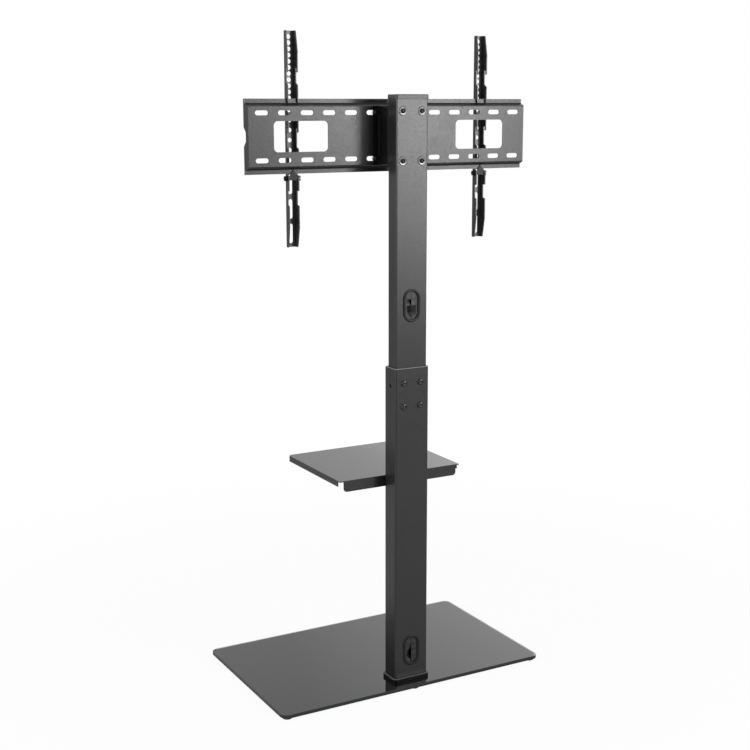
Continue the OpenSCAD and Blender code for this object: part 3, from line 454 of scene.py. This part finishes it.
def turned(profile):
    """Rings of a turned solid, from its profile of (radius, height), each a number or one value per angle."""
    rings = []
    for radius, height in profile:
        r, h, a = np.broadcast_arrays(radius, height, turn)
        rings.append(np.stack([r * np.cos(a), r * np.sin(a), h], -1).reshape(-1, sides, 3))
    return np.concatenate(rings)


def skin(rings, ends):
    """Points and blocks of faces of a closed surface over rings. The ends are looped, fanned or bridged."""
    rows, around = rings.shape[:2]
    at = np.arange(rows * around).reshape(rows, around)
    ahead = np.roll(at, -1, axis=1)
    above = np.arange(1, rows + (ends == "loop")) % rows
    below = np.arange(len(above))
    blocks = [np.stack([at[below], ahead[below], ahead[above], at[above]], -1).reshape(-1, 4)]
    points = rings.reshape(-1, 3)
    if ends == "fan":
        points = np.concatenate([points, rings[[0, -1]].mean(axis=1)])
        first, last = np.full(around, len(points) - 2), np.full(around, len(points) - 1)
        blocks += [np.stack([first, ahead[0], at[0]], -1), np.stack([last, at[-1], ahead[-1]], -1)]
    if ends == "bridge":
        near = np.arange(around // 2 - 1)
        cap = np.stack([near, near + 1, around - 2 - near, around - 1 - near], -1)
        blocks += [at[0][cap[:, ::-1]], at[-1][cap]]
    return points, blocks


def piece(name, shells, finish, body, replaced):
    """One mesh of closed shells of (points, blocks), which rides on a body and stands for a CAD node."""
    points, faces, count = [], [], 0
    for shell_points, blocks in shells:
        points.append(shell_points)
        for block in blocks:
            faces += (block + count).tolist()
        count += len(shell_points)
    mesh = bpy.data.meshes.new(name)
    mesh.from_pydata(np.concatenate(points).tolist(), [], faces)
    mesh.shade_smooth()
    mesh.set_sharp_from_angle(angle=crease)
    mesh.materials.append(finish.material)
    made = bpy.data.objects.new(name, mesh)
    scene.collection.objects.link(made)
    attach(made, body)
    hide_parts(replaced)


def placed(shape, node, half_x, half_z, toward):
    """Copies of a shape in the corners of a CAD node's box, foot on its far side and axis toward a side."""
    low, high = (np.array(corner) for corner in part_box(node))
    toward = np.array(toward)
    side = np.cross(toward, (0, 0, 1))
    turned_to = np.array([side, np.cross(toward, side), toward])
    points, blocks = shape
    foot_y = high[1] if toward[1] < 0 else low[1]
    xs = (low[0] + half_x, high[0] - half_x)
    # A box of a single row gives the same height twice.
    zs = sorted({round(low[2] + half_z, 5), round(high[2] - half_z, 5)})
    return [(points @ turned_to + (x, foot_y, z), blocks) for x in xs for z in zs]


def screws(node, radius, threaded, toward, body, finish):
    """Button head screws for a CAD node. Each stands on its tip, with a shank as long as the box leaves, a
    quarter of an ellipse for its crown, and a hexagon socket with a drilled floor."""
    low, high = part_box(node)
    pitch, flats = pitches[radius], socket_flats[radius]
    head_half, head_h = head_widths[radius] / 2, head_heights[radius]
    length, mouth = high.y - low.y - head_h, crown_r * flats
    tip = lead * pitch
    shank = [(radius - tip, 0), thread(radius, tip, threaded), (radius, threaded + pitch / 2)]
    arc = np.linspace(0, math.pi / 2, dome_rings)
    dome_r = mouth + (head_half - mouth) * np.cos(arc)
    dome_z = length + head_h * (head_rim + (1 - head_rim) * np.sin(arc))
    head = [(radius, length), (head_half - edge_break, length), *zip(dome_r, dome_z)]
    socket = [
        (hexagon(flats), length + socket_mouth * head_h), (hexagon(flats), length + socket_floor * head_h),
        (drill_r * flats, length + drill_floor * head_h)]
    shape = skin(turned([*shank, *head, *socket]), "fan")
    shells = placed(shape, node, head_half, head_half, toward)
    piece(node + "_cut", shells, finish, body, node)


rearward, forward = (0, 1, 0), (0, -1, 0)
screws("height_bolts", M8, threaded=0.009, toward=rearward, body="stand", finish=oxide)


# Mount bolts. Four long M6 bolts with the same heads go through washers, the
# upper tube and the bracket's web, into plain hexagon nuts. Their black is
# deeper and duller.
dull = Finish("dull_black_oxide", Specular_IOR_Level=0.22)
dull.colour((0.003, 0.003, 0.0032), (0.006, 0.006, 0.0062), size=0.003)
dull.rough(0.20, 0.32, size=0.0015, detail=3.0)
screws("mount_bolts", M6, threaded=0.018, toward=rearward, body="mast", finish=dull)


# Bracket screws. Four short M6 screws hold the bracket's flanges to the
# mounting plate.
screws("adapter_screws", M6, threaded=0.007, toward=rearward, body="mast", finish=dull)


# Shelf bolts. Two M6 screws hold the shelf's rear flange to the lower tube.
screws("shelf_bolts", M6, threaded=0.008, toward=forward, body="stand", finish=dull)


# Washers. Thick turned rings under the mount bolts, dished towards the head
# and bevelled outside, in smooth dark nickel.
washer_half = 0.0090
nickel = Finish("dark_nickel", Metallic=0.7)
nickel.colour((0.13, 0.13, 0.132), (0.19, 0.19, 0.192), size=0.004)
nickel.rough(0.24, 0.34, size=0.0012, detail=3.0)
outside = [(washer_half, 0), (washer_half, 0.0007), (0.0087, 0.0013), (0.0082, 0.0018), (0.0078, 0.0020)]
dish = [(0.0074, 0.00195), (0.0056, 0.0016)]
bore = [(0.0033, 0.0016), (0.0031, 0.0014), (0.0031, 0.0002), (0.0033, 0)]
washer = skin(turned([*outside, *dish, *bore]), "loop")
washers = placed(washer, "mount_washers", washer_half, washer_half, rearward)
piece("mount_washers_cut", washers, nickel, "mast", "mount_washers")


# Nuts. Hexagon nuts with both faces chamfered and a countersunk bore, zinc
# plated like the foot block.
nut_flats, nut_h, bore_play, sink_w, sink_h = 0.010, 0.005, 0.0001, 0.0006, 0.0005
cone_foot, chamfer_w = 0.47, 0.155  # shares of the nut's width
chamfer_rings = 7


def hex_nut(roll):
    """M6 nut. A cone of 30 degrees cuts each face: the lesser radius counts, the cone's or the hexagon's."""
    rise = np.linspace(0, chamfer_w * math.tan(sixth / 2) * nut_flats, chamfer_rings)
    cone = cone_foot * nut_flats + rise / math.tan(sixth / 2)
    edge = [(np.minimum(hexagon(nut_flats, roll), r), h) for r, h in zip(cone, rise)]
    far = [(r, nut_h - h) for r, h in reversed(edge)]
    bore, sink = M6 + bore_play, M6 + sink_w
    inside = [(sink, nut_h), (bore, nut_h - sink_h), (bore, sink_h), (sink, 0)]
    return skin(turned([*edge, *far, *inside]), "loop")


flat_half, corner_half = nut_flats / 2, nut_flats / 2 / math.cos(sixth / 2)
for node, half_x, half_z, roll in (
        ("mount_nuts", corner_half, flat_half, 0), ("adapter_nuts", flat_half, corner_half, sixth / 2)):
    nuts = placed(hex_nut(roll), node, half_x, half_z, rearward)
    piece(node + "_cut", nuts, zinc, "mast", node)


# Latch screws and nuts. The CAD has their shape. They are as dull and black
# as the mount bolts.
coat(dull, "right_latch_screw", "left_latch_screw", "right_latch_nut", "left_latch_nut")


# Cable grommets. A rubber membrane in each bezel, slit into two columns of
# four flaps. Cables have been pushed through, so some flaps stay bent. The
# rubber is skinned smooth by its mould.
skinned = Finish("skinned_rubber", Specular_IOR_Level=0.5)
skinned.colour((0.009, 0.009, 0.0093), (0.015, 0.015, 0.0153), size=0.006)
skinned.rough(0.33, 0.47, size=0.002, detail=3.0)
skinned.emboss(skinned.grain(0.0009, 3.0), depth=0.00002)
hole_w, hole_h, border_w, sheet = 0.0292, 0.0582, 0.003, 0.0012
flap_pitch, slit_half, end_gap, tuck, least_half = 0.013, 0.00045, 0.0002, 0.0004, 0.0016
curl, flap_rows, flap_columns = 1.25, 9, 10


def oval(inset, y):
    """Ring of points round the hole, inset from it, in the plane y: half circles, (height - width) apart."""
    lift = (hole_h - hole_w) / 2 * np.where(np.sin(turn + math.pi / sides) > 0, 1, -1)
    radius = hole_w / 2 - inset
    return np.stack([radius * np.cos(turn), np.full(sides, y), radius * np.sin(turn) + lift], -1)


def flap(side, low, high, bends, plane):
    """Flap hinged at the oval and free at the middle slit. Its free edge leaves the plane by bends, from low
    to high, and a point at share u of the way from the hinge by that times u^curl."""
    up, out = np.linspace(0, 1, flap_rows)[:, None], np.linspace(0, 1, flap_columns)
    z = low + (high - low) * up
    past_straight = np.maximum(np.abs(z) - (hole_h - hole_w) / 2, 0)
    half_squared = (hole_w / 2 - border_w) ** 2 - past_straight ** 2
    hinge = np.sqrt(np.maximum(half_squared, least_half ** 2)) + tuck
    x = hinge + (slit_half - hinge) * out
    y = plane + (bends[0] + (bends[1] - bends[0]) * up) * out ** curl
    front = np.stack(np.broadcast_arrays(side * x, y, z), -1)
    rear = front - (0, sheet, 0)
    rings = np.concatenate([front, rear[:, ::-1]], axis=1)
    return skin(rings if side > 0 else rings[:, ::-1], "bridge")


def membrane(node, body, bends):
    """Border and eight flaps. From the top row down, bends has the +X and the -X flap, each with the bend at
    its foot and at its head."""
    low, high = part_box(node)
    plane, middle = high.y, (0, 0, (low.z + high.z) / 2)
    corners = (border_w, plane - sheet), (border_w, plane), (0, plane), (0, plane - sheet)
    shells = [skin(np.stack([oval(inset, y) for inset, y in corners]), "loop")]
    last_z = hole_h / 2 - border_w - end_gap
    edges = (last_z, flap_pitch, 0, -flap_pitch, -last_z)
    for above, below, pair in zip(edges, edges[1:], bends):
        for side, bend in zip((1, -1), pair):
            shells.append(flap(side, below + slit_half, above - slit_half, bend, plane))
    shells = [(points + middle, blocks) for points, blocks in shells]
    piece(node + "_bent", shells, skinned, body, node)


membrane("upper_grommet_flaps", "mast", [
    ((0, 0), (0, 0)), ((-0.0015, -0.0075), (0, -0.0008)),
    ((-0.0090, -0.0095), (-0.0095, -0.0085)), ((-0.0004, -0.0085), (-0.0004, -0.0080))])
membrane("lower_grommet_flaps", "stand", [
    ((0, 0), (-0.0005, 0)), ((-0.0040, -0.0005), (-0.0010, 0)),
    ((-0.0095, -0.0060), (0.0006, 0.0006)), ((-0.0010, -0.0085), (-0.0015, 0.0006))])
